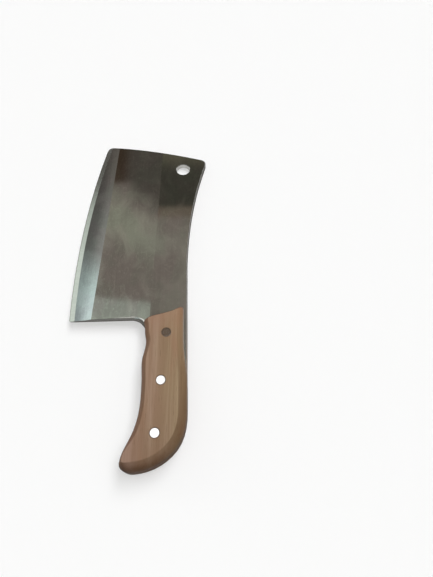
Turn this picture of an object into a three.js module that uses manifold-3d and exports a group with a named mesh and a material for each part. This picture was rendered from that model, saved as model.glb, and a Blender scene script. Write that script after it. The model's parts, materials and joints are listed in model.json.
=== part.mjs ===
// A wide bone-chopping cleaver: one heavy ground blade whose full tang is held between two wooden
// scales by three two-piece rivets.
// Millimetres. Sizes are measured from x = 0 on the straight spine, y = 0 on the heel and z = 0
// half way through the steel: +X points out of the spine, +Y to the front of the blade, +Z up.
import * as THREE from "three";
import { mergeVertices } from "three/addons/utils/BufferGeometryUtils.js";
import Module from "manifold-3d";

// Blade outline
const BLADE_LENGTH = 187.5; // heel to the front corner on the edge side
const BLADE_WIDTH = 94.9; // straight spine to the fullest point of the edge
const EDGE_RADIUS = 780; // curve of the cutting edge
const EDGE_FULLEST = 25; // heel to the fullest point of the edge
const FRONT_DROP = 21; // how far the front slants back towards the spine
const FRONT_BULGE = 2; // how far the front bows out of its chord
const FLARE_START = 42; // heel to where the spine starts to sweep outwards
const FLARE_RADIUS = 410;
const TIP_CORNER = 5; // roundings of the outline's corners
const NOSE_CORNER = 7.5;
const HEEL_CORNER = 1.5;
const HEEL_FILLET = 12; // from the heel into the tang
const RIM_ROUND = 0.8; // broken edges along the spine and front
const HEEL_EASE = 4; // rounding of the heel where the hand meets it, in from its outline
const HEEL_EASE_DEPTH = 1.6;

// Blade section, full thicknesses
const BLADE_THICKNESS = 5; // at the spine and through the tang
const BEVEL_THICKNESS = 3.8; // where the primary bevel starts
const EDGE_THICKNESS = 0.3;
const FLAT_AT_HEEL = 30; // width of the unground flat along the spine
const FLAT_AT_FRONT = 23.5;
const BEVEL_AT_HEEL = 17.6; // width of the primary bevel with the sharpened edge
const BEVEL_AT_FRONT = 11.3;
const BEVEL_LEAN = 3.9; // degrees that the primary bevel leans, all along
const SHARPENED_WIDTH = 4.4;

// Hanging hole
const HOLE_DIAMETER = 12.4;
const HOLE_FROM_SPINE = 4;
const HOLE_FROM_FRONT = 31.9; // behind the front corner on the edge side
const HOLE_RIM = 0.5; // broken edge of the hole

// Handle outline, shared by the tang and the scales. The root is where the heel's fillet ends.
const HANDLE_LENGTH = 114.8; // heel to the butt
const GRIP_WIDTH = 33.6; // at the waist
const ROOT_DEPTH = 0.8; // how far the root lies inside the waist
const NOTCH_DEPTH = 2; // finger notch, inside the waist
const NOTCH_BEHIND_ROOT = 9.5;
const KNUCKLE_RISE = 0.6; // swell behind the notch, outside the waist
const KNUCKLE_BEHIND_NOTCH = 16.5;
const WAIST_BEHIND_KNUCKLE = 16;
const HAUNCH_DROP = 4.2; // belly on its way down to the beak
const HAUNCH_BEFORE_BEAK = 21.8;
const HAUNCH_HEADING = -110; // headings are degrees anticlockwise from +X
const BEAK_DROP = 12.7; // hook of the butt that stops the hand
const BEAK_BEFORE_BUTT = 6;
const BEAK_HEADING = -96;
const BUTT_DROP = 4; // lowest point of the butt
const BUTT_HEADING = 3;
const SHOULDER_INSET = 10.7; // rounded back of the butt, in from the spine line
const SHOULDER_BEFORE_BUTT = 11.2;
const SHOULDER_HEADING = 43;
const BACK_BEFORE_SHOULDER = 29.6; // where the straight back ends
const CURVE_REACH = 0.36; // handle of each curve as a share of its chord
const TANG_LAP = 6; // how far the tang runs into the blade

// Scales
const SCALE_THICKNESS = 8.5;
const SIDE_HEIGHT = 2; // upright side before the rounding starts
const ROUND_SWEEP = 48; // degrees of arc, so a line is left round the crown
const ROUND_STEPS = 6;
const BELLY_ROUND = 4; // how far the rounding eats into the crown
const BEAK_ROUND = 2.2;
const BUTT_ROUND = 6.5;
const BACK_ROUND = 6;
const STRIP_ROUND = 4.8;
const FRONT_ROUND = 1.2;
const CROWN_BEFORE_BEAK = 2; // how far the crown's corner stays back from the beak
const STRIP_WIDTH = 3; // bare strip of tang along the spine beside the scale
const STRIP_LENGTH = 25; // where the strip keeps its width
const STRIP_END_BEFORE_BACK = 17; // where the strip has run out
const SCALE_AHEAD_OF_HEEL = 8.2; // front of the scale at the spine
const SCALE_BEFORE_ROOT = 8.7; // front of the scale at the belly
const SCALE_FLARE = 1.6; // how far the belly flares out to the front, following the heel's fillet
const SCALE_FLARE_HEADING = -75;
const SCALE_FRONT_DIP = 0.75; // how far the front dips inside its chord
const SCALE_SPINE_HEADING = 208; // heading of the scale's front at the spine, middle and belly
const SCALE_MIDDLE_HEADING = 197;
const SCALE_BELLY_HEADING = 203;
const SCALE_SPINE_CORNER = 1.5;
const SCALE_BELLY_CORNER = 2;
const GLUE_LINE = 0.1; // between tang and scale

// Rivets
const RIVET_BEHIND_HEEL = 15.6; // front rivet
const RIVET_BEFORE_BUTT = 24.8; // rear rivet
const RIVET_RISE_FRONT = 1.2; // front rivet, from the middle of the grip towards the spine
const RIVET_DROP_REAR = 5.2; // rear rivet, from the middle of the grip towards the belly
const HEAD_DIAMETER = 6.8;
const HEAD_THICKNESS = 1.6;
const HEAD_EDGE = 0.15; // broken edge of the head
const HEAD_RECESS = 0.05; // the top of the head below the wood
const SHANK_DIAMETER = 4.8;
const PIN_DIAMETER = 3.4;
const PIN_CLEARANCE = 0.1; // radial, pin in the hollow shank
const HOLE_CLEARANCE = 0.15; // radial, rivet in the wood and the tang
const SEAT_CLEARANCE = 0.1; // under the heads
const END_CLEARANCE = 0.6; // past the ends of the shank and the pin

// How finely curves are cut
const OUTLINE_STEPS = 12;
const RIM_STEPS = 2;
const EASE_STEPS = 4;
const GRIP_STEPS = 6;
const GRIND_STATIONS = 24;
const HOLE_SIDES = 48;
const RIVET_SIDES = 28;
const OVERRUN = 3; // how far a cutter runs past what it cuts

const UP = 90;
const DOWN = -90;
const QUARTER_TURN = 90;
const HALF_BLADE = BLADE_THICKNESS / 2;
const SCALE_BASE = HALF_BLADE + GLUE_LINE;
const SCALE_CROWN = SCALE_BASE + SCALE_THICKNESS;
const ROOT_X = ROOT_DEPTH - GRIP_WIDTH;
const ROOT_Y = -HEEL_FILLET;
const BUTT_Y = -HANDLE_LENGTH;
const BACK_Y = BUTT_Y + SHOULDER_BEFORE_BUTT + BACK_BEFORE_SHOULDER;
const STRIP_END_Y = BACK_Y + STRIP_END_BEFORE_BACK;

const wasm = await Module();
wasm.setup();

// A closed geometry as a solid that can be joined and cut.
function solid(geometry) {
  geometry.deleteAttribute("normal");
  geometry.deleteAttribute("uv");
  const merged = mergeVertices(geometry);
  const vertProperties = new Float32Array(merged.attributes.position.array);
  const triVerts = new Uint32Array(merged.index.array);
  return new wasm.Manifold(new wasm.Mesh({ numProp: 3, vertProperties, triVerts }));
}

// A finished solid as a named mesh.
function piece(name, body, material) {
  const { vertProperties, triVerts } = body.getMesh();
  const geometry = new THREE.BufferGeometry();
  geometry.setAttribute("position", new THREE.BufferAttribute(vertProperties, 3));
  geometry.setIndex(new THREE.BufferAttribute(triVerts, 1));
  geometry.computeVertexNormals();
  const mesh = new THREE.Mesh(geometry, material);
  mesh.name = name;
  return mesh;
}

// A solid of revolution about an upright axis at (x, y), from [radius, height] pairs going up.
function turned(profile, sides, x = 0, y = 0) {
  const points = profile.map(([radius, height]) => new THREE.Vector2(radius, height));
  return solid(new THREE.LatheGeometry(points, sides).rotateX(Math.PI / 2).translate(x, y, 0));
}

// A solid through rings of [x, y, z] points, all with the same count and drawn anticlockwise from
// the end it grows towards. side = -1 mirrors it through the blade's middle plane.
function lofted(rings, side = 1) {
  const count = rings[0].length;
  const position = rings.flat().flatMap(([x, y, z]) => [x, y, z * side]);
  const faces = [];
  for (let ring = 0; ring + 1 < rings.length; ring += 1) {
    for (let i = 0; i < count; i += 1) {
      const next = (i + 1) % count;
      const [a, b] = [ring * count + i, ring * count + next];
      faces.push([a, b, b + count], [a, b + count, a + count]);
    }
  }
  const last = (rings.length - 1) * count;
  for (const [a, b, c] of capFaces(rings[0])) faces.push([a, c, b]);
  for (const [a, b, c] of capFaces(rings.at(-1))) faces.push([last + a, last + b, last + c]);
  const index = faces.flatMap(([a, b, c]) => (side > 0 ? [a, b, c] : [a, c, b]));
  const geometry = new THREE.BufferGeometry();
  geometry.setAttribute("position", new THREE.Float32BufferAttribute(position, 3));
  return solid(geometry.setIndex(index));
}

// The triangles that close a flat ring, seen along the axis on which it lies flat.
function capFaces(ring) {
  const upright = ring.every(([, y]) => y === ring[0][1]);
  const flat = ring.map(([x, y, z]) => (upright ? new THREE.Vector2(z, x) : new THREE.Vector2(x, y)));
  return THREE.ShapeUtils.triangulateShape(flat, []);
}

// Plan curves of the blade
function edgeX(y) {
  return EDGE_RADIUS - BLADE_WIDTH - Math.sqrt(EDGE_RADIUS ** 2 - (y - EDGE_FULLEST) ** 2);
}

function spineX(y) {
  return y < FLARE_START ? 0 : FLARE_RADIUS - Math.sqrt(FLARE_RADIUS ** 2 - (y - FLARE_START) ** 2);
}

function between(y, atHeel, atFront) {
  return THREE.MathUtils.lerp(atHeel, atFront, y / BLADE_LENGTH);
}

function flatX(y) {
  return between(y, -FLAT_AT_HEEL, -FLAT_AT_FRONT);
}

function bevelX(y) {
  return between(y, edgeX(0) + BEVEL_AT_HEEL, edgeX(BLADE_LENGTH) + BEVEL_AT_FRONT);
}

// Directions in plan, in degrees anticlockwise from +X
function heading(degrees) {
  const angle = THREE.MathUtils.degToRad(degrees);
  return new THREE.Vector2(Math.cos(angle), Math.sin(angle));
}

// The blade's outline, anticlockwise from the heel corner. Its root reaches into the tang and runs on
// as the bare strip along the spine, until the scales are flush with it.
function bladeOutline() {
  const heel = new THREE.Vector2(edgeX(0), 0);
  const tip = new THREE.Vector2(edgeX(BLADE_LENGTH), BLADE_LENGTH);
  const noseY = BLADE_LENGTH - FRONT_DROP;
  const nose = new THREE.Vector2(spineX(noseY), noseY);
  const along = tip.clone().sub(nose).normalize();
  const frontStart = nose.clone().addScaledVector(along, NOSE_CORNER);
  const frontEnd = tip.clone().addScaledVector(along, -TIP_CORNER);
  const outwards = new THREE.Vector2(along.y, -along.x);
  const frontPull = frontStart.clone().lerp(frontEnd, 0.5).addScaledVector(outwards, 2 * FRONT_BULGE);
  const edgeStart = Math.PI - Math.asin((BLADE_LENGTH - TIP_CORNER - EDGE_FULLEST) / EDGE_RADIUS);
  const edgeEnd = Math.PI + Math.asin((EDGE_FULLEST - HEEL_CORNER) / EDGE_RADIUS);
  const flareEnd = Math.PI - Math.asin((noseY - NOSE_CORNER - FLARE_START) / FLARE_RADIUS);
  const stripX = -STRIP_WIDTH - OVERRUN;
  const outline = new THREE.Shape();
  outline.moveTo(heel.x + HEEL_CORNER, 0);
  outline.lineTo(ROOT_X - HEEL_FILLET, 0);
  outline.absarc(ROOT_X - HEEL_FILLET, ROOT_Y, HEEL_FILLET, Math.PI / 2, 0, true);
  outline.lineTo(stripX, ROOT_Y - OVERRUN);
  outline.lineTo(stripX, STRIP_END_Y - OVERRUN);
  outline.lineTo(0, STRIP_END_Y - OVERRUN);
  outline.lineTo(0, FLARE_START);
  outline.absarc(FLARE_RADIUS, FLARE_START, FLARE_RADIUS, Math.PI, flareEnd, true);
  outline.quadraticCurveTo(nose.x, nose.y, frontStart.x, frontStart.y);
  outline.quadraticCurveTo(frontPull.x, frontPull.y, frontEnd.x, frontEnd.y);
  outline.quadraticCurveTo(tip.x, tip.y, edgeX(BLADE_LENGTH - TIP_CORNER), BLADE_LENGTH - TIP_CORNER);
  outline.absarc(EDGE_RADIUS - BLADE_WIDTH, EDGE_FULLEST, EDGE_RADIUS, edgeStart, edgeEnd, false);
  outline.quadraticCurveTo(heel.x, heel.y, heel.x + HEEL_CORNER, 0);
  return outline;
}

// What the grinder takes off one face of the blade, as a loft from the tang to past the front: the
// middle facet, the flat primary bevel and the sharpened edge.
function grinding(side) {
  const rings = [];
  const end = BLADE_LENGTH + OVERRUN;
  const bevelSlope = Math.tan(THREE.MathUtils.degToRad(BEVEL_LEAN));
  for (let station = 0; station <= GRIND_STATIONS; station += 1) {
    const y = THREE.MathUtils.lerp(ROOT_Y, end, station / GRIND_STATIONS);
    const edge = edgeX(y);
    const shoulder = edge + SHARPENED_WIDTH;
    const slope = (BLADE_THICKNESS - BEVEL_THICKNESS) / 2 / (flatX(y) - bevelX(y));
    const top = HALF_BLADE + OVERRUN;
    rings.push([
      [flatX(y) + OVERRUN, y, top],
      [flatX(y) + OVERRUN, y, HALF_BLADE + slope * OVERRUN],
      [bevelX(y), y, BEVEL_THICKNESS / 2],
      [shoulder, y, BEVEL_THICKNESS / 2 - bevelSlope * (bevelX(y) - shoulder)],
      [edge, y, EDGE_THICKNESS / 2],
      [edge - OVERRUN, y, EDGE_THICKNESS / 2],
      [edge - OVERRUN, y, top],
    ]);
  }
  return lofted(rings, side);
}

// The handle's outline as knots, from the root down the belly, round the butt and up the back. Each
// knot is a point, the heading of the outline through it and how far the scale is rounded there. At
// the beak the crown also keeps back.
function gripKnots() {
  const notchY = ROOT_Y - NOTCH_BEHIND_ROOT;
  const knuckleY = notchY - KNUCKLE_BEHIND_NOTCH;
  const waistY = knuckleY - WAIST_BEHIND_KNUCKLE;
  const beakX = -BEAK_DROP - GRIP_WIDTH;
  const beakY = BUTT_Y + BEAK_BEFORE_BUTT;
  const haunchY = beakY + HAUNCH_BEFORE_BEAK;
  const shoulderY = BUTT_Y + SHOULDER_BEFORE_BUTT;
  return [
    { x: ROOT_X, y: ROOT_Y, degrees: DOWN, round: BELLY_ROUND },
    { x: NOTCH_DEPTH - GRIP_WIDTH, y: notchY, degrees: DOWN, round: BELLY_ROUND },
    { x: -KNUCKLE_RISE - GRIP_WIDTH, y: knuckleY, degrees: DOWN, round: BELLY_ROUND },
    { x: -GRIP_WIDTH, y: waistY, degrees: DOWN, round: BELLY_ROUND },
    { x: -HAUNCH_DROP - GRIP_WIDTH, y: haunchY, degrees: HAUNCH_HEADING, round: BELLY_ROUND },
    { x: beakX, y: beakY, degrees: BEAK_HEADING, round: BEAK_ROUND, back: CROWN_BEFORE_BEAK },
    { x: -BUTT_DROP - GRIP_WIDTH, y: BUTT_Y, degrees: BUTT_HEADING, round: BUTT_ROUND },
    { x: -SHOULDER_INSET, y: shoulderY, degrees: SHOULDER_HEADING, round: BUTT_ROUND },
    { x: 0, y: BACK_Y, degrees: UP, round: BACK_ROUND },
  ];
}

// The rest of a scale's outline: up the back, in beside the bare strip of tang and across the front.
// A corner has two headings and two roundings, before and after it, and is cut back by a length.
function scaleKnots() {
  const spineY = SCALE_AHEAD_OF_HEEL;
  const bellyY = ROOT_Y + SCALE_BEFORE_ROOT;
  const spineTurn = { degrees: SCALE_SPINE_HEADING, round: FRONT_ROUND, cut: SCALE_SPINE_CORNER };
  const bellyX = ROOT_X - SCALE_FLARE;
  const bellyTurn = { degrees: SCALE_FLARE_HEADING, round: BELLY_ROUND, cut: SCALE_BELLY_CORNER };
  const front = {
    x: (bellyX - STRIP_WIDTH) / 2,
    y: (spineY + bellyY) / 2 - SCALE_FRONT_DIP,
    degrees: SCALE_MIDDLE_HEADING,
    round: FRONT_ROUND,
  };
  return [
    ...gripKnots(),
    { x: 0, y: STRIP_END_Y, degrees: UP, round: BACK_ROUND },
    { x: -STRIP_WIDTH, y: spineY - STRIP_LENGTH, degrees: UP, round: STRIP_ROUND },
    { x: -STRIP_WIDTH, y: spineY, degrees: UP, round: STRIP_ROUND, turn: spineTurn },
    front,
    { x: bellyX, y: bellyY, degrees: SCALE_BELLY_HEADING, round: FRONT_ROUND, turn: bellyTurn },
  ];
}

// A knot moved in by a share of its rounding. A corner keeps its distance from both of its sides.
function movedIn(knot, share) {
  const at = new THREE.Vector2(knot.x, knot.y + (knot.back ?? 0) * share);
  const inwards = heading(knot.degrees + QUARTER_TURN);
  const depth = knot.round * share;
  if (!knot.turn) return at.addScaledVector(inwards, depth);
  const after = heading(knot.turn.degrees + QUARTER_TURN);
  const afterDepth = knot.turn.round * share;
  const cross = inwards.cross(after);
  at.x += (depth * after.y - afterDepth * inwards.y) / cross;
  at.y += (afterDepth * inwards.x - depth * after.x) / cross;
  return at;
}

// Draws smooth curves through knots on a path, from the first to the last.
function drawThrough(path, knots, share = 0) {
  const stops = knots.map((knot) => {
    const corner = movedIn(knot, share);
    const cut = knot.turn?.cut ?? 0;
    const enters = heading(knot.degrees);
    const leaves = heading(knot.turn?.degrees ?? knot.degrees);
    const from = corner.clone().addScaledVector(enters, -cut);
    const to = corner.clone().addScaledVector(leaves, cut);
    return { corner, cut, enters, leaves, from, to };
  });
  path.moveTo(stops[0].to.x, stops[0].to.y);
  for (let i = 1; i < stops.length; i += 1) {
    const [last, next] = [stops[i - 1], stops[i]];
    const reach = CURVE_REACH * last.to.distanceTo(next.from);
    const pull = last.to.clone().addScaledVector(last.leaves, reach);
    const push = next.from.clone().addScaledVector(next.enters, -reach);
    path.bezierCurveTo(pull.x, pull.y, push.x, push.y, next.from.x, next.from.y);
    if (next.cut) path.quadraticCurveTo(next.corner.x, next.corner.y, next.to.x, next.to.y);
  }
  return path;
}

// The tang, flush with the scales all round the grip, then in beside the strip and up into the blade.
function tangOutline() {
  const outline = drawThrough(new THREE.Shape(), gripKnots());
  outline.lineTo(0, STRIP_END_Y);
  outline.lineTo(-STRIP_WIDTH, STRIP_END_Y);
  outline.lineTo(-STRIP_WIDTH, ROOT_Y + TANG_LAP);
  outline.lineTo(ROOT_X + TANG_LAP, ROOT_Y + TANG_LAP);
  return outline;
}

function rivetPlaces() {
  const front = new THREE.Vector2(RIVET_RISE_FRONT - GRIP_WIDTH / 2, -RIVET_BEHIND_HEEL);
  const rear = new THREE.Vector2(-RIVET_DROP_REAR - GRIP_WIDTH / 2, BUTT_Y + RIVET_BEFORE_BUTT);
  return [front, front.clone().lerp(rear, 0.5), rear];
}

// What the rounding of the heel leaves: it follows the heel and its fillet as far as the scales, and
// stays clear of the blade elsewhere.
function easedOutline() {
  const clear = HEEL_EASE + OVERRUN;
  const left = -BLADE_WIDTH - clear;
  const right = spineX(BLADE_LENGTH) + clear;
  const low = STRIP_END_Y - OVERRUN - clear;
  const high = BLADE_LENGTH + clear;
  const filletX = ROOT_X - HEEL_FILLET;
  const stop = Math.asin(SCALE_BEFORE_ROOT / HEEL_FILLET);
  const outline = new THREE.Shape();
  outline.moveTo(left, 0);
  outline.lineTo(filletX, 0);
  outline.absarc(filletX, ROOT_Y, HEEL_FILLET, Math.PI / 2, stop, true);
  outline.lineTo(filletX, ROOT_Y);
  outline.lineTo(filletX, low);
  outline.lineTo(right, low);
  outline.lineTo(right, high);
  outline.lineTo(left, high);
  return outline;
}

// A plate as thick as the blade with its rim rounded over, by a width in plan and a depth on each face.
function roundedPlate(outline, width, depth, steps) {
  const plate = new THREE.ExtrudeGeometry(outline, {
    depth: BLADE_THICKNESS - 2 * depth,
    curveSegments: OUTLINE_STEPS,
    bevelThickness: depth,
    bevelSize: width,
    bevelOffset: -width,
    bevelSegments: steps,
  });
  return solid(plate.translate(0, 0, depth - HALF_BLADE));
}

function makeBlade() {
  const eased = roundedPlate(easedOutline(), HEEL_EASE, HEEL_EASE_DEPTH, EASE_STEPS);
  const plate = roundedPlate(bladeOutline(), RIM_ROUND, RIM_ROUND, RIM_STEPS).intersect(eased);
  const tang = new THREE.ExtrudeGeometry(tangOutline(), {
    depth: BLADE_THICKNESS,
    curveSegments: GRIP_STEPS,
    bevelEnabled: false,
  }).translate(0, 0, -HALF_BLADE);
  const holeRadius = HOLE_DIAMETER / 2;
  const hole = turned(
    [
      [0, -HALF_BLADE - OVERRUN],
      [holeRadius + HOLE_RIM + OVERRUN, -HALF_BLADE - OVERRUN],
      [holeRadius, HOLE_RIM - HALF_BLADE],
      [holeRadius, HALF_BLADE - HOLE_RIM],
      [holeRadius + HOLE_RIM + OVERRUN, HALF_BLADE + OVERRUN],
      [0, HALF_BLADE + OVERRUN],
    ],
    HOLE_SIDES,
    -HOLE_FROM_SPINE,
    BLADE_LENGTH - HOLE_FROM_FRONT,
  );
  let blade = plate.subtract(grinding(1)).subtract(grinding(-1)).add(solid(tang)).subtract(hole);
  const radius = SHANK_DIAMETER / 2 + HOLE_CLEARANCE;
  for (const { x, y } of rivetPlaces()) {
    const low = -HALF_BLADE - OVERRUN;
    const high = HALF_BLADE + OVERRUN;
    blade = blade.subtract(turned([[0, low], [radius, low], [radius, high], [0, high]], RIVET_SIDES, x, y));
  }
  return blade;
}

// One wooden scale: a loft that rounds over from its upright side to the flat crown, with a stepped
// hole for each rivet. side is 1 for the upper scale and -1 for the lower one.
function makeScale(side) {
  const knots = scaleKnots();
  const closed = [...knots, knots[0]];
  const ring = (share, z) => {
    const points = drawThrough(new THREE.Path(), closed, share).getPoints(GRIP_STEPS).slice(0, -1);
    return points.map(({ x, y }) => [x, y, z]);
  };
  const sweep = THREE.MathUtils.degToRad(ROUND_SWEEP);
  const rings = [ring(0, SCALE_BASE)];
  for (let step = 0; step <= ROUND_STEPS; step += 1) {
    const angle = (sweep * step) / ROUND_STEPS;
    const share = (1 - Math.cos(angle)) / (1 - Math.cos(sweep));
    const rise = Math.sin(angle) / Math.sin(sweep);
    rings.push(ring(share, SCALE_BASE + SIDE_HEIGHT + rise * (SCALE_THICKNESS - SIDE_HEIGHT)));
  }
  let scale = lofted(rings, side);
  const shank = SHANK_DIAMETER / 2 + HOLE_CLEARANCE;
  const head = HEAD_DIAMETER / 2 + HOLE_CLEARANCE;
  const seat = SCALE_CROWN - HEAD_RECESS - HEAD_THICKNESS - SEAT_CLEARANCE;
  const low = SCALE_BASE - OVERRUN;
  const high = SCALE_CROWN + OVERRUN;
  const upper = [[0, low], [shank, low], [shank, seat], [head, seat], [head, high], [0, high]];
  const profile = side > 0 ? upper : upper.map(([radius, z]) => [radius, -z]).reverse();
  for (const { x, y } of rivetPlaces()) {
    scale = scale.subtract(turned(profile, RIVET_SIDES, x, y));
  }
  return scale;
}

// Outline of a rivet's head from its seat up to its top, which is ground flat with the wood.
function headProfile() {
  const radius = HEAD_DIAMETER / 2;
  const top = SCALE_CROWN - HEAD_RECESS;
  return [
    [radius, top - HEAD_THICKNESS],
    [radius, top - HEAD_EDGE],
    [radius - HEAD_EDGE, top],
    [0, top],
  ];
}

// The hollow half, put in from above, and the solid half, pressed into it from below.
function makeFemale({ x, y }) {
  const seat = SCALE_CROWN - HEAD_RECESS - HEAD_THICKNESS;
  const bore = PIN_DIAMETER / 2 + PIN_CLEARANCE;
  const shank = SHANK_DIAMETER / 2;
  const end = END_CLEARANCE - seat;
  const profile = [[0, seat], [bore, seat], [bore, end], [shank, end], [shank, seat], ...headProfile()];
  return turned(profile, RIVET_SIDES, x, y);
}

function makeMale({ x, y }) {
  const seat = SCALE_CROWN - HEAD_RECESS - HEAD_THICKNESS;
  const pin = PIN_DIAMETER / 2;
  const end = seat - END_CLEARANCE;
  const head = headProfile().map(([radius, z]) => [radius, -z]);
  const profile = [...head.reverse(), [pin, -seat], [pin, end], [0, end]];
  return turned(profile, RIVET_SIDES, x, y);
}

const steel = { color: 0xa9a59c, roughness: 0.34, metalness: 1 };
const wood = { color: 0x93785f, roughness: 0.55, metalness: 0 };
const rivetMetal = { color: 0xd9d8d2, roughness: 0.25, metalness: 1 };

const assembly = new THREE.Group();
assembly.add(piece("blade", makeBlade(), new THREE.MeshStandardMaterial(steel)));
assembly.add(piece("front_scale", makeScale(1), new THREE.MeshStandardMaterial(wood)));
assembly.add(piece("back_scale", makeScale(-1), new THREE.MeshStandardMaterial(wood)));
rivetPlaces().forEach((place, i) => {
  const name = `rivet_${i + 1}`;
  assembly.add(piece(`${name}_female`, makeFemale(place), new THREE.MeshStandardMaterial(rivetMetal)));
  assembly.add(piece(`${name}_male`, makeMale(place), new THREE.MeshStandardMaterial(rivetMetal)));
});

// The part's own origin: the middle of its box in plan, on the lower scale's outer face.
const box = new THREE.Box3().setFromObject(assembly);
const middle = box.getCenter(new THREE.Vector3());
assembly.position.set(-middle.x, -middle.y, -box.min.z);
const knife = new THREE.Group().add(assembly);

export default knife;
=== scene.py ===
import json
import math
from typing import NamedTuple

import bmesh
import bpy
from mathutils import Matrix, Vector


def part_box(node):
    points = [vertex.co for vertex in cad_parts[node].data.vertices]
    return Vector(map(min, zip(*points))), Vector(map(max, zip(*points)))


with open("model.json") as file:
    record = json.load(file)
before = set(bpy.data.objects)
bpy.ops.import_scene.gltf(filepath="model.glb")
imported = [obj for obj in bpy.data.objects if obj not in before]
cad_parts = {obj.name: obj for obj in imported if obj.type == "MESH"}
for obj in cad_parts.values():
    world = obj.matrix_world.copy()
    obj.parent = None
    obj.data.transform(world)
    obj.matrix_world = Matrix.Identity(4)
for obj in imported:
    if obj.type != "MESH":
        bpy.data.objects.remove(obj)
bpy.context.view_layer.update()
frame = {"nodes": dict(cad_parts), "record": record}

nodes = frame["nodes"]
MM = 0.001
PLACE_DIGITS = 7  # places that agree to so many digits are the same

# Faces of the blade by how far they lean out of its plane, in degrees: the flat along the spine, the
# middle facet, the primary bevel, the sharpened edge and the rim. The rim is bright along the cutting
# line, round the hole and on the eased shoulders of the heel. The rest is a painted dark reflection.
FACE_LEANS = [0.4, 2.2, 6.5, 20.0, 90.0]
BRIGHT_RIM = 4
DARK_RIM = 5
HEEL_SLANT = 0.5
CUTTING_SLANT = 0.7
EASED_LEAN = 45.0
HEEL_BEHIND_SCALE = 22 * MM

# Smooth shading breaks where a flat ends and where faces meet at more than the crease, in degrees
FLAT_LEAN = 2.0
CREASE = 35.0
WELD = 1e-6


# Node trees
MIXED_COLOURS = slice(6, 8)  # sockets of the mix node that hold its two colours
MIXED_RESULT = 2
ROUNDING_SAMPLES = 6


class Noise(NamedTuple):
    """Noise in a piece's own coordinates: how many features there are in a metre along X, Y and Z, and
    by how many degrees these axes are turned about Z. The levels are where marks made of it start to
    show and where they show in full, and the share is how far they then cover what they lie on."""

    density: tuple
    levels: tuple = (0.0, 1.0)
    share: float = 1.0
    detail: float = 2.0
    roughness: float = 0.5
    distortion: float = 0.0
    turn: float = 0.0


class Tree:
    """A node tree with one short call for each kind of node."""

    def __init__(self, owner):
        owner.use_nodes = True
        self.nodes = owner.node_tree.nodes
        self.links = owner.node_tree.links
        self.nodes.clear()

    def feed(self, socket, value):
        if isinstance(value, bpy.types.NodeSocket):
            self.links.new(value, socket)
        else:
            socket.default_value = value

    def add(self, kind, inputs, **settings):
        node = self.nodes.new(kind)
        for name, value in settings.items():
            setattr(node, name, value)
        for name, value in inputs.items():
            self.feed(node.inputs[name], value)
        return node

    def maths(self, operation, *values):
        node = self.add("ShaderNodeMath", {}, operation=operation)
        for socket, value in zip(node.inputs, values):
            self.feed(socket, value)
        return node.outputs[0]

    def soft(self, value, start, end, low=0.0, high=1.0):
        """A smooth step of value: low before start and high after end."""
        limits = {"From Min": start, "From Max": end, "To Min": low, "To Max": high}
        node = self.add("ShaderNodeMapRange", {"Value": value, **limits}, interpolation_type="SMOOTHSTEP")
        return node.outputs[0]

    def span(self, value, start, end, blur):
        """1 between start and end, fading to 0 over blur on each side."""
        rising = self.soft(value, start - blur / 2, start + blur / 2)
        falling = self.soft(value, end - blur / 2, end + blur / 2, 1.0, 0.0)
        return self.maths("MULTIPLY", rising, falling)

    def mix(self, factor, first, second, blend="MIX"):
        node = self.add("ShaderNodeMix", {}, data_type="RGBA", blend_type=blend, clamp_factor=True)
        self.feed(node.inputs[0], factor)
        for socket, colour in zip(node.inputs[MIXED_COLOURS], (first, second)):
            self.feed(socket, colour if isinstance(colour, bpy.types.NodeSocket) else (*colour, 1))
        return node.outputs[MIXED_RESULT]

    def split(self, vector):
        return self.add("ShaderNodeSeparateXYZ", {"Vector": vector}).outputs

    def texture_place(self, kind):
        return self.add("ShaderNodeTexCoord", {}).outputs[kind]

    def noise(self, kind):
        inputs = {"Vector": self.texture_place("Object"), "Rotation": (0, 0, math.radians(kind.turn))}
        inputs["Scale"] = tuple(1 / d for d in kind.density)
        where = self.add("ShaderNodeMapping", inputs, vector_type="TEXTURE")
        inputs = {"Scale": 1.0, "Detail": kind.detail, "Roughness": kind.roughness}
        inputs["Distortion"] = kind.distortion
        inputs["Vector"] = where.outputs[0]
        return self.add("ShaderNodeTexNoise", inputs).outputs["Fac"]

    def marks(self, kind, strength=1.0, noise=None):
        """How far the marks of a kind of noise cover each place. A noise that exists is used again."""
        return self.soft(noise or self.noise(kind), *kind.levels, 0.0, strength * kind.share)

    def rounded(self, radius):
        """The normal as if the creases were rounded."""
        return self.add("ShaderNodeBevel", {"Radius": radius}, samples=ROUNDING_SAMPLES).outputs[0]

    def bump(self, height, depth, **inputs):
        return self.add("ShaderNodeBump", {"Height": height, "Distance": depth, **inputs}).outputs[0]

    def surface(self, inputs):
        shader = self.add("ShaderNodeBsdfPrincipled", inputs)
        self.add("ShaderNodeOutputMaterial", {"Surface": shader.outputs[0]})


# Shading of the solids
def lean(normal):
    return math.degrees(math.acos(min(1.0, abs(normal.z))))


def shade(name, face_kinds):
    """Smooth shading that breaks between faces of different kinds and at creases."""
    mesh = nodes[name].data
    if "custom_normal" in mesh.attributes:
        mesh.attributes.remove(mesh.attributes["custom_normal"])
    mesh.polygons.foreach_set("use_smooth", [True] * len(mesh.polygons))
    meeting = {}
    for face in mesh.polygons:
        for loop in face.loop_indices:
            edge = mesh.edges[mesh.loops[loop].edge_index]
            ends = frozenset(mesh.vertices[v].co.to_tuple(PLACE_DIGITS) for v in edge.vertices)
            meeting.setdefault(ends, []).append((face, edge))
    for met in meeting.values():
        kinds = {face_kinds[face.index] for face, _ in met}
        turn = met[0][0].normal.angle(met[-1][0].normal, 0.0)
        sharp = len(kinds) > 1 or math.degrees(turn) > CREASE
        for _, edge in met:
            edge.use_edge_sharp = sharp
    weld = nodes[name].modifiers.new("weld", "WELD")
    weld.merge_threshold = WELD


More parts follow.
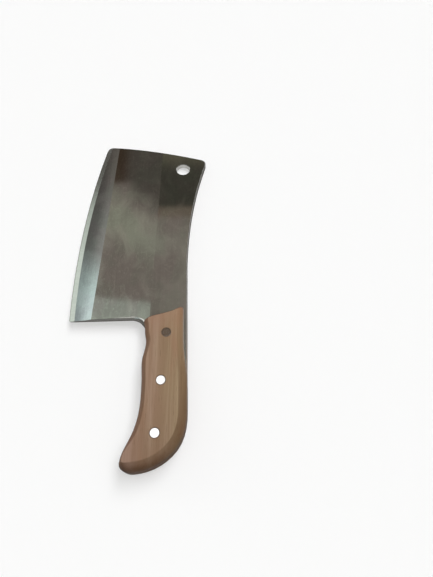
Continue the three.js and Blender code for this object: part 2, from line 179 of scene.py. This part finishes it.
def hanging_hole():
    """The middle of the hole in the blade, and a reach that takes in its wall and no other rim."""
    openings = frame["record"]["physics"]["openings"]
    low, high = next(o["box_m"] for o in openings if o["name"] == "hanging_hole")
    return (Vector(low) + Vector(high)) / 2, high[0] - low[0]


def blade_kind(face, scale_low, scale_high):
    """Which surface of the blade a face belongs to. What slants towards the handle is rim, however
    little it leans, because it is the heel's easing."""
    kind = next(i for i, limit in enumerate(FACE_LEANS) if lean(face.normal) <= limit)
    if kind and -face.normal.y > abs(face.normal.x) * HEEL_SLANT:
        kind = BRIGHT_RIM
    hole, reach = hanging_hole()
    if kind != BRIGHT_RIM or (face.center - hole).length < reach:
        return kind
    cutting = face.normal.x < -CUTTING_SLANT and face.center.x < scale_low.x
    at_heel = face.center.y > scale_high.y - HEEL_BEHIND_SCALE and max(face.normal.xy) <= 0
    eased = at_heel and lean(face.normal) < EASED_LEAN
    return BRIGHT_RIM if cutting or eased else DARK_RIM


def flat_or_round(face):
    return lean(face.normal) <= FLAT_LEAN


# Steel
STEEL = (0.608, 0.582, 0.563)
EDGE_STEEL = (0.57, 0.585, 0.555)
RIM_STEEL = (0.48, 0.475, 0.45)
# Painted dark reflection for the rims that are not bright
RIM_PAINTED_DARK = (0.19, 0.186, 0.175)
# Painted brown shade that the dark rims take on beside the handle
TANG_PAINTED_SHADE = (0.19, 0.13, 0.088)
# Painted dark reflection near the middle of the blade's thickness
EDGE_PAINTED_DARK = (0.16, 0.16, 0.15)
RIVET_STEEL = (0.86, 0.85, 0.83)
WIPED_STEEL = (0.77, 0.77, 0.72)
GREENED = (0.95, 1.0, 0.97)
WHITE = (1, 1, 1)

# Grinding lines by the direction that they run square to, and the marks of use
ACROSS = (1, 0, 0)
ALONG = (0, 1, 0)
LINES = {
    ACROSS: Noise((3000, 22, 3000), detail=3, roughness=0.6),
    ALONG: Noise((60, 3000, 60), detail=3, roughness=0.6),
}
STREAKS = {
    ACROSS: Noise((420, 6, 420), (0.35, 0.65), detail=4, roughness=0.7),
    ALONG: Noise((25, 420, 25), (0.35, 0.65), detail=4, roughness=0.7),
}
WIPES = Noise((45, 30, 45), (0.4, 0.7), detail=3, distortion=1.2)
SMEARS = Noise((170, 95, 170), (0.5, 0.66), share=0.7, detail=4, roughness=0.6, distortion=2.5)
TINTS = Noise((60, 42, 60), (0.4, 0.6))
SCRATCHES = Noise((70, 2600, 70), (0.63, 0.72), share=0.6, turn=16.0)
STREAK_TONE = 0.94
LINE_DEPTH = 0.002 * MM
LINE_ROUGHNESS = 0.02
WIPE_ROUGHNESS = 0.05
EDGE_DARK_REACH = 0.3 * MM
EDGE_DARK_SHARE = 0.75
TANG_SHADE_FULL = 35 * MM  # from the butt


def worn_steel(tree, tone, smudge):
    """Smears, tinted places and scratches on a tone of steel."""
    tone = tree.mix(tree.marks(SMEARS, smudge), tone, WIPED_STEEL)
    tone = tree.mix(tree.marks(TINTS), tone, GREENED, blend="MULTIPLY")
    return tree.mix(tree.marks(SCRATCHES), tone, WIPED_STEEL)


def edge_darkened_steel(tree, tone, reach):
    """A tone of steel that is painted darker within a reach of the middle of the blade's thickness, a
    painted dark reflection.
    """
    low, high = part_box("blade")
    height = tree.maths("SUBTRACT", tree.split(tree.texture_place("Object"))["Z"], (low.z + high.z) / 2)
    thin = tree.soft(tree.maths("ABSOLUTE", height), reach / 2, reach, EDGE_DARK_SHARE, 0.0)
    return tree.mix(thin, tone, EDGE_PAINTED_DARK)


def tang_shaded_steel(tree, tone, darker_tone):
    """A tone of steel that takes on a painted brown shade from the front of the scales towards the butt.
    """
    low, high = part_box("front_scale")
    behind = tree.split(tree.texture_place("Object"))["Y"]
    return tree.mix(tree.soft(behind, low.y + TANG_SHADE_FULL, high.y, 1.0, 0.0), tone, darker_tone)


def steel(name, colour, roughness, brushed=0.0, across=ACROSS, smudge=0.0, edge_tint=WHITE, edge_darkened=0.0,
          tang_shaded=None):
    """Ground steel. The grinding lines run square to the direction across, and smudges are wiped over."""
    material = bpy.data.materials.new(name)
    tree = Tree(material)
    lines = tree.noise(LINES[across])
    wiped = tree.marks(WIPES, smudge)
    streaked = tuple(STREAK_TONE * c for c in colour)
    tone = tree.mix(tree.marks(STREAKS[across]), streaked, colour)
    tone = tree.mix(wiped, tone, WIPED_STEEL)
    if smudge:
        tone = worn_steel(tree, tone, smudge)
    # Painted dark reflection near the middle of the thickness
    if edge_darkened:
        tone = edge_darkened_steel(tree, tone, edge_darkened)
    # Painted brown shade on the rims towards the butt
    if tang_shaded:
        tone = tang_shaded_steel(tree, tone, tang_shaded)
    lined = tree.maths("MULTIPLY_ADD", lines, LINE_ROUGHNESS, roughness - LINE_ROUGHNESS / 2)
    tangent = tree.add("ShaderNodeCombineXYZ", dict(zip("XYZ", across))).outputs[0]
    tree.surface({
        "Base Color": tone,
        "Metallic": 1.0,
        "Roughness": tree.maths("MULTIPLY_ADD", wiped, WIPE_ROUGHNESS, lined),
        "Anisotropic": brushed,
        "Tangent": tangent,
        "Specular Tint": (*edge_tint, 1),
        "Normal": tree.bump(lines, LINE_DEPTH),
    })
    return material


# Wood. Its light and dark tones change from the belly's side to the spine's side.
LIGHT_WOOD = [(0.345, 0.225, 0.17), (0.325, 0.238, 0.145)]
DARK_WOOD = [(0.285, 0.17, 0.118), (0.255, 0.178, 0.102)]
RED_WOOD = (0.31, 0.17, 0.11)
FIBRE = (0.19, 0.115, 0.07)
PORE = (0.12, 0.07, 0.042)
FLUSHED_WOOD = (0.345, 0.195, 0.13)
# Painted shade for the wood's faces towards the blade
FRONT_SHADE = (0.2, 0.105, 0.068)
GRIME = (0.10, 0.075, 0.065)
WOOD_SHEEN = (0.5, 0.4, 0.3, 1)
WOOD_SHEEN_LEVEL = 0.25

# Grain
RINGS = Noise((130, 8, 90), (0.35, 0.65), detail=3, roughness=0.55, distortion=0.5)
REDNESS = Noise((60, 22, 60), (0.52, 0.72), share=0.5)
FIBRES = Noise((1400, 26, 1400), (0.4, 0.72), share=0.3, detail=4, roughness=0.65)
PORES = Noise((2400, 110, 2400), (0.66, 0.74), share=0.4, detail=1)
HEART_WANDER = 30 * MM
FIBRE_RELIEF = (0.7, 0.3)
PORE_RELIEF = (0.64, 0.72)
GRAIN_DEPTH = 0.02 * MM
FIBRE_ROUGHNESS = (0.2, 0.8, 0.48, 0.64)  # from two levels of the fibres to two roughnesses

# Darker tones multiplied into the wood: painted shade on the sides, the belly, the back, the beak and the
# walls, painted shade over the end grain's own darker tone on the butt, and a darkening towards the butt
BUTTWARD_TONE = (0.66, 0.64, 0.62)
SIDE_SHADE = (0.93, 0.87, 0.83)
BELLY_SHADE = (0.84, 0.82, 0.80)
BACK_SHADE = (0.61, 0.55, 0.52)
BUTT_GRAIN_AND_SHADE = (0.50, 0.48, 0.455)
BEAK_SHADE = (0.8, 0.8, 0.8)
WALL_SHADE = (0.70, 0.65, 0.60)

# Where they lie, by how far the surface faces an axis
BUTT_FACING = (-0.8, -0.1)
FRONT_SHADE_FACING = (0.12, 0.45)
SIDE_SHADE_FACING = (0.75, 0.97)
WALL_SHADE_FACING = (0.05, 0.45)
BELLY_SHADE_FACING = (-0.3, -0.1)
BACK_SHADE_FACING = (0.2, 0.4)
BACK_SHADE_FADING = (-0.7, -0.1)

# And by the length from the butt, the front or the beak, with how much shows at most
BUTTWARD_LENGTH = 60 * MM
BUTTWARD_SHARE = 0.4
BACK_SHADE_START = 108 * MM
BACK_SHADE_END = 30 * MM
FLUSHED_LENGTH = 35 * MM
FLUSHED_SHARE = 0.4
BEAK_LENGTH = 14 * MM
GRIME_RING = 0.8 * MM
GRIME_SHARE = 0.7
WOOD_ROUND = 1.0 * MM


def rivet_distance(tree):
    """How far a place on the handle lies from the nearest rivet's axis."""
    place = tree.texture_place("Object")
    where = tree.add("ShaderNodeVectorMath", {0: place, 1: (1, 1, 0)}, operation="MULTIPLY")
    nearest = None
    for name in nodes:
        if name.endswith("_female"):
            low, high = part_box(name)
            axis = ((low.x + high.x) / 2, (low.y + high.y) / 2, 0)
            inputs = {0: where.outputs["Vector"], 1: axis}
            far = tree.add("ShaderNodeVectorMath", inputs, operation="DISTANCE").outputs["Value"]
            nearest = tree.maths("MINIMUM", nearest, far) if nearest else far
    return nearest


def bare_wood(tree, place, low, high, fibres, pores):
    """The tone of the wood between the corners of a scale, before it was handled."""
    redness = tree.noise(REDNESS)
    width = tree.maths("MULTIPLY_ADD", redness, HEART_WANDER, place["X"])
    heart = tree.soft(width, low.x + HEART_WANDER / 2, high.x + HEART_WANDER / 2)
    light = tree.mix(heart, *LIGHT_WOOD)
    dark = tree.mix(heart, *DARK_WOOD)
    tone = tree.mix(tree.marks(RINGS), dark, light)
    tone = tree.mix(tree.marks(REDNESS, noise=redness), tone, RED_WOOD)
    tone = tree.mix(tree.marks(FIBRES, noise=fibres), tone, FIBRE)
    return tree.mix(tree.marks(PORES, noise=pores), tone, PORE)


def shaded_and_tinted_wood(tree, tone, place, low, high, normal):
    """The wood's tone, darker towards the butt and redder towards the front, with painted shade on the
    sides, the belly, the back, the beak, the walls and the faces towards the blade, and on the butt
    painted shade over the end grain's own darker tone.
    """
    facing = tree.split(normal)
    upright = tree.maths("ABSOLUTE", facing["Z"])
    # Faces towards the butt: the end grain's own darker tone with painted shade over it
    butt = tree.soft(facing["Y"], *BUTT_FACING, 1.0, 0.0)
    # Painted shade on the sides, the belly, the back, the beak and the walls, by how the surface faces
    side = tree.soft(upright, *SIDE_SHADE_FACING, 1.0, 0.0)
    wall = tree.soft(upright, *WALL_SHADE_FACING, 1.0, 0.0)
    belly = tree.maths("MULTIPLY", side, tree.soft(facing["X"], *BELLY_SHADE_FACING, 1.0, 0.0))
    back_shade_reach = tree.soft(place["Y"], low.y + BACK_SHADE_END, low.y + BACK_SHADE_START, 1.0, 0.0)
    back_shade = tree.maths("MULTIPLY", back_shade_reach, tree.soft(facing["X"], *BACK_SHADE_FACING))
    back_shade = tree.maths("MULTIPLY", back_shade, tree.soft(facing["Y"], *BACK_SHADE_FADING))
    beak = tree.maths("MULTIPLY", butt, tree.soft(place["X"], low.x, low.x + BEAK_LENGTH, 1.0, 0.0))
    # Darker towards the butt, all over the scale
    buttward = tree.soft(place["Y"], low.y, low.y + BUTTWARD_LENGTH, BUTTWARD_SHARE, 0.0)
    flushed = tree.soft(place["Y"], high.y - FLUSHED_LENGTH, high.y, 0.0, FLUSHED_SHARE)
    tone = tree.mix(buttward, tone, BUTTWARD_TONE, blend="MULTIPLY")
    tone = tree.mix(flushed, tone, FLUSHED_WOOD)
    # Painted shade, and on the butt painted shade over the end grain's own darker tone
    darker_tones = [(side, SIDE_SHADE), (belly, BELLY_SHADE), (back_shade, BACK_SHADE), (butt, BUTT_GRAIN_AND_SHADE), (beak, BEAK_SHADE), (wall, WALL_SHADE)]
    for where, darker_tone in darker_tones:
        tone = tree.mix(where, tone, darker_tone, blend="MULTIPLY")
    # Painted shade on the faces towards the blade
    return tree.mix(tree.soft(facing["Y"], *FRONT_SHADE_FACING), tone, FRONT_SHADE)


def wood(name):
    """Tan hardwood with its grain along the handle, painted shade on its sides and ends, and grime round
    the rivets.
    """
    material = bpy.data.materials.new(name)
    tree = Tree(material)
    low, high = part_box("front_scale")
    head_low, head_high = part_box("rivet_1_female")
    head = (head_high.x - head_low.x) / 2
    place = tree.split(tree.texture_place("Object"))
    fibres = tree.noise(FIBRES)
    pores = tree.noise(PORES)
    rounded = tree.rounded(WOOD_ROUND)
    tone = bare_wood(tree, place, low, high, fibres, pores)
    tone = shaded_and_tinted_wood(tree, tone, place, low, high, rounded)
    grime = tree.soft(rivet_distance(tree), head, head + GRIME_RING, GRIME_SHARE, 0.0)
    relief = tree.maths("SUBTRACT", tree.soft(fibres, *FIBRE_RELIEF), tree.soft(pores, *PORE_RELIEF))
    tree.surface({
        "Base Color": tree.mix(grime, tone, GRIME),
        "Roughness": tree.soft(fibres, *FIBRE_ROUGHNESS),
        "Specular IOR Level": WOOD_SHEEN_LEVEL,
        "Specular Tint": WOOD_SHEEN,
        "Normal": tree.bump(relief, GRAIN_DEPTH, Normal=rounded),
    })
    return material


# Finish of each piece
def paint(name, materials, face_kinds):
    mesh = nodes[name].data
    mesh.materials.clear()
    for material in materials:
        mesh.materials.append(material)
    mesh.polygons.foreach_set("material_index", face_kinds)


def dress_knife():
    scale_low, scale_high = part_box("front_scale")
    blade_kinds = [blade_kind(face, scale_low, scale_high) for face in nodes["blade"].data.polygons]
    shade("blade", blade_kinds)
    paint("blade", [
        steel("blade_flat", STEEL, roughness=0.055, brushed=0.5, smudge=0.5),
        steel("blade_middle", STEEL, roughness=0.065, brushed=0.5, smudge=0.7),
        steel("blade_bevel", STEEL, roughness=0.06, brushed=0.4, smudge=0.4),
        # The cutting edge is painted darker at its thinnest, a painted dark reflection
        steel("blade_edge", EDGE_STEEL, roughness=0.14, brushed=0.5, across=ALONG, edge_darkened=EDGE_DARK_REACH),
        steel("bright_rim", RIM_STEEL, roughness=0.13),
        # The dark rim's colour and edge tint are a painted dark reflection
        steel("dark_rim", RIM_PAINTED_DARK, roughness=0.42, edge_tint=RIM_PAINTED_DARK, tang_shaded=TANG_PAINTED_SHADE),
    ], blade_kinds)
    handle_wood = wood("handle_wood")
    rivet_steel = steel("rivet_steel", RIVET_STEEL, roughness=0.08)
    for name, node in nodes.items():
        if name == "blade":
            continue
        kinds = [flat_or_round(face) for face in node.data.polygons]
        shade(name, kinds)
        paint(name, [handle_wood if "scale" in name else rivet_steel], [0] * len(kinds))


# The room, as it would show in the blade. A direction is told by where it meets a ceiling one unit up:
# across is X there and along is Y. A range is a start, an end and the blur of both.
LEAST_UP = 0.02
FAR_OFF = 9.0
ANYWHERE = (-FAR_OFF, FAR_OFF, 0.1)


class Patch(NamedTuple):
    """A patch of the room: its colour and its ranges. A slant shifts the range that it belongs to by
    so much for each unit in the other direction."""

    colour: tuple
    across: tuple = ANYWHERE
    along: tuple = ANYWHERE
    across_slant: float = 0.0
    along_slant: float = 0.0


# The ceiling is parted in two, with a daylit band on the left that fades into the far wall
PARTING = -0.179
PARTING_SLANT = -0.035
LEFT_PART = (-FAR_OFF, PARTING, 0.012)
RIGHT_PART = (PARTING, FAR_OFF, 0.012)
CEILING = (0.226, 0.202, 0.178)
DIM_CEILING = (0.262, 0.25, 0.213)
FAR_WALL = (0.09, 0.082, 0.07)
BAND = (0.503, 0.628, 0.07)
BAND_SLANT = 0.7
FAR_WALL_RISE = (0.618, 0.738)
FAR_WALL_LEFT = (-0.27, -0.22, 0.1, 1.0)  # left of the first place only a tenth of it shows
DAYLIT_BAND = [
    Patch((0.295, 0.292, 0.24), LEFT_PART, BAND, PARTING_SLANT, BAND_SLANT),
    Patch(DIM_CEILING, (-0.232, PARTING, 0.03), BAND, PARTING_SLANT, BAND_SLANT),
]
FAR_CORNER = [
    Patch(FAR_WALL, LEFT_PART, (0.895, FAR_OFF, 0.02), PARTING_SLANT),
    Patch((0.058, 0.038, 0.026), (-FAR_OFF, -0.262, 0.014), (0.89, FAR_OFF, 0.014)),
]
RIGHT_CEILING = [
    Patch(CEILING, RIGHT_PART, across_slant=PARTING_SLANT),
    Patch(DIM_CEILING, RIGHT_PART, (0.645, 0.7, 0.06), PARTING_SLANT),
]
RUSTY_CEILING = Patch((0.185, 0.15, 0.12), RIGHT_PART, (0.755, FAR_OFF, 0.02), PARTING_SLANT)
DARK_WALL = Patch((0.06, 0.057, 0.046), RIGHT_PART, (0.79, FAR_OFF, 0.012), PARTING_SLANT)
OLIVE_WALL = Patch((0.135, 0.127, 0.09), RIGHT_PART, (0.955, FAR_OFF, 0.08), PARTING_SLANT)
SKYLIGHT = Patch((0.39, 0.41, 0.37), LEFT_PART, (-FAR_OFF, 0.473, 0.012), PARTING_SLANT, 0.155)
BEAM = Patch((0.12, 0.082, 0.055), (-0.14, -0.085, 0.02), (0.375, 0.46, 0.02))

# The left wall goes dark towards its far corner, in two strips, and has a window beside them
NEAR_WALL = (0.62, 0.75, 0.765)
LEFT_WALL = (0.24, 0.245, 0.235)
LEFT_CORNER = (0.125, 0.112, 0.103)
WINDOW = (1.02, 1.1, 1.03)
DIM_PANE = (0.75, 0.81, 0.75)
LEFT_WALL_EDGE = (-0.39, -0.35)
LEFT_WALL_BEND = -0.28
LEFT_WALL_SLANT = 0.7
LEFT_WALL_FADE = (0.42, 0.6)
LEFT_CORNER_FADE = (0.58, 0.95)
STRIP_SLANT = -0.06
STRIP_LIGHT = (-0.506, -0.484, 0.58, 1.48)  # from one place to the next, and the two strips' strengths
WINDOW_SIDE = (-FAR_OFF, -0.6, 0.1)
DIM_PANE_LENGTH = (-FAR_OFF, 0.72, 0.12)
WINDOW_LENGTH = (-FAR_OFF, 0.51, 0.1)

# What is nearer or to the sides, and what lights the knife
SIDE_WALL = Patch((0.19, 0.185, 0.172), (-FAR_OFF, -0.45, 0.1), (-FAR_OFF, 0.42, 0.12))
BEHIND = (0.3, 0.3, 0.29)
BEHIND_LENGTH = (-FAR_OFF, -0.35, 0.5)
RIGHT_WALL = Patch((0.35, 0.34, 0.32), (0.55, FAR_OFF, 0.5))
BLIND = Patch((1.5, 1.5, 1.5), (-0.5, -0.1, 0.02), (0.12, 0.345, 0.02))
DOORWAY = Patch((1.1, 1.1, 1.08), (-0.32, -0.1, 0.04), (-0.3, 0.0, 0.04))
MAIN_LAMP = Patch((7.6, 7.6, 7.7), (0.15, 0.6, 0.05), (-0.2, 0.8, 0.05))
HORIZON = (0.3, 0.39)


def slanted(tree, first, second, slant):
    return tree.maths("MULTIPLY_ADD", second, slant, first) if slant else first


def lay(tree, light, colour, first, first_range, second, second_range):
    """Lays a colour over the light where both measures are within their ranges."""
    where = tree.maths("MULTIPLY", tree.span(first, *first_range), tree.span(second, *second_range))
    return tree.mix(where, light, colour)


def lay_patches(tree, light, across, along, patches):
    for patch in patches:
        first = slanted(tree, across, along, patch.across_slant)
        second = slanted(tree, along, across, patch.along_slant)
        light = lay(tree, light, patch.colour, first, patch.across, second, patch.along)
    return light


def far_wall(tree, light, across, along):
    """The far wall, where the ceiling goes dark towards it."""
    far = slanted(tree, along, across, BAND_SLANT)
    dark = tree.maths("MULTIPLY", tree.soft(far, *FAR_WALL_RISE), tree.soft(across, *FAR_WALL_LEFT))
    return tree.mix(dark, light, FAR_WALL)


def left_wall(tree, light, across, along):
    past_bend = tree.maths("MINIMUM", tree.maths("SUBTRACT", across, LEFT_WALL_BEND), 0.0)
    near = slanted(tree, along, past_bend, LEFT_WALL_SLANT)
    wall = tree.mix(tree.soft(near, *LEFT_WALL_FADE), NEAR_WALL, LEFT_WALL)
    wall = tree.mix(tree.soft(near, *LEFT_CORNER_FADE), wall, LEFT_CORNER)
    strip = tree.soft(slanted(tree, across, along, STRIP_SLANT), *STRIP_LIGHT)
    wall = tree.add("ShaderNodeVectorMath", {0: wall, "Scale": strip}, operation="SCALE").outputs["Vector"]
    wall = lay(tree, wall, LEFT_CORNER, across, WINDOW_SIDE, along, ANYWHERE)
    wall = lay(tree, wall, DIM_PANE, across, WINDOW_SIDE, near, DIM_PANE_LENGTH)
    wall = lay(tree, wall, WINDOW, across, WINDOW_SIDE, near, WINDOW_LENGTH)
    return tree.mix(tree.soft(across, *LEFT_WALL_EDGE, 1.0, 0.0), light, wall)


def seen_directly(tree):
    """1 for rays from the camera and for mirrored ones, 0 for the light that a rough surface gathers."""
    rays = tree.add("ShaderNodeLightPath", {}).outputs
    mirrored = tree.maths("MAXIMUM", rays["Is Glossy Ray"], rays["Is Transmission Ray"])
    return tree.maths("MAXIMUM", rays["Is Camera Ray"], mirrored)


def make_room():
    world = bpy.data.worlds.new("room")
    bpy.context.scene.world = world
    tree = Tree(world)
    way = tree.split(tree.texture_place("Generated"))
    up = tree.maths("MAXIMUM", way["Z"], LEAST_UP)
    across = tree.maths("DIVIDE", way["X"], up)
    along = tree.maths("DIVIDE", way["Y"], up)
    light = lay_patches(tree, CEILING, across, along, DAYLIT_BAND)
    light = far_wall(tree, light, across, along)
    patches = [*FAR_CORNER, *RIGHT_CEILING, RUSTY_CEILING, DARK_WALL, OLIVE_WALL, SKYLIGHT, BEAM]
    light = lay_patches(tree, light, across, along, patches)
    light = left_wall(tree, light, across, along)
    light = lay_patches(tree, light, across, along, [SIDE_WALL])
    light = lay(tree, light, BEHIND, along, BEHIND_LENGTH, along, ANYWHERE)
    light = lay_patches(tree, light, across, along, [RIGHT_WALL, BLIND, DOORWAY, MAIN_LAMP])
    horizon = tree.soft(way["Z"], *HORIZON, 1.0, 0.0)
    light = tree.mix(tree.maths("MULTIPLY", horizon, seen_directly(tree)), light, WHITE)
    ground = tree.add("ShaderNodeBackground", {"Color": light, "Strength": 1.0})
    tree.add("ShaderNodeOutputWorld", {"Surface": ground.outputs[0]})


# The table, under the knife as it lies by its own weight
STEEL_DENSITY = 7750
WOOD_DENSITY = 700
UNDERSIDE = -0.9
TABLE_SIZE = 30.0
TABLE_GREY = (0.45, 0.45, 0.45)
TABLE_SEEN = (0.52, 0.52, 0.52)
TABLE_GLOW = 0.45
TABLE_ROUGHNESS = 0.9
TABLE_SHEEN_LEVEL = 0.1


def weight_centre():
    total, moment = 0.0, Vector()
    for name, node in nodes.items():
        density = WOOD_DENSITY if "scale" in name else STEEL_DENSITY
        for face in node.data.polygons:
            a, b, c = (node.data.vertices[v].co for v in face.vertices)
            mass = density * a.dot(b.cross(c)) / 6
            total += mass
            moment += mass * (a + b + c) / 4
    return moment / total


def resting_face():
    """The middle and the outward direction of the side of the knife's hull that carries its weight."""
    hull = bmesh.new()
    for place in {v.co.to_tuple(PLACE_DIGITS) for node in nodes.values() for v in node.data.vertices}:
        hull.verts.new(place)
    bmesh.ops.convex_hull(hull, input=hull.verts)
    hull.normal_update()
    centre = weight_centre()
    under = [face for face in hull.faces if face.normal.z < UNDERSIDE]
    carrier = next(face for face in under if bmesh.geometry.intersect_face_point(face, centre))
    return carrier.calc_center_median(), carrier.normal.copy()


def table_white():
    material = bpy.data.materials.new("table_white")
    tree = Tree(material)
    tree.surface({
        "Base Color": tree.mix(seen_directly(tree), TABLE_GREY, TABLE_SEEN),
        "Roughness": TABLE_ROUGHNESS,
        "Specular IOR Level": TABLE_SHEEN_LEVEL,
        "Emission Color": (*WHITE, 1),
        "Emission Strength": tree.maths("MULTIPLY", seen_directly(tree), TABLE_GLOW),
    })
    return material


def make_table():
    middle, down = resting_face()
    mesh = bpy.data.meshes.new("table")
    table = bpy.data.objects.new("table", mesh)
    top = bmesh.new()
    bmesh.ops.create_grid(top, x_segments=2, y_segments=2, size=TABLE_SIZE / 2)
    top.to_mesh(mesh)
    turn = (-down).to_track_quat("Z", "Y").to_matrix().to_4x4()
    table.matrix_world = Matrix.Translation(middle) @ turn
    bpy.context.scene.collection.objects.link(table)
    mesh.materials.append(table_white())


# The camera, by the handle's spine and butt and by the middle of the blade's thickness
CAMERA_OUT = 18.8 * MM
CAMERA_BEHIND = 35.0 * MM
CAMERA_ABOVE = 332.4 * MM
CAMERA_PITCH = 62.0  # degrees down
CAMERA_TURN = -1.733
CAMERA_CLIP = 10 * MM
FOCAL_PIXELS = 453.0
PICTURE_HEIGHT = 577


def make_camera():
    handle_low, handle_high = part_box("front_scale")
    blade_low, blade_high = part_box("blade")
    data = bpy.data.cameras.new("camera")
    data.lens = data.sensor_width * FOCAL_PIXELS / PICTURE_HEIGHT
    data.clip_start = CAMERA_CLIP
    camera = bpy.data.objects.new("camera", data)
    camera.location = (
        handle_high.x + CAMERA_OUT,
        handle_low.y - CAMERA_BEHIND,
        (blade_low.z + blade_high.z) / 2 + CAMERA_ABOVE,
    )
    camera.rotation_euler = (math.radians(90 - CAMERA_PITCH), 0, math.radians(CAMERA_TURN))
    bpy.context.scene.collection.objects.link(camera)
    bpy.context.scene.camera = camera


dress_knife()
make_room()
make_table()
make_camera()
bpy.context.scene.view_settings.view_transform = "Standard"
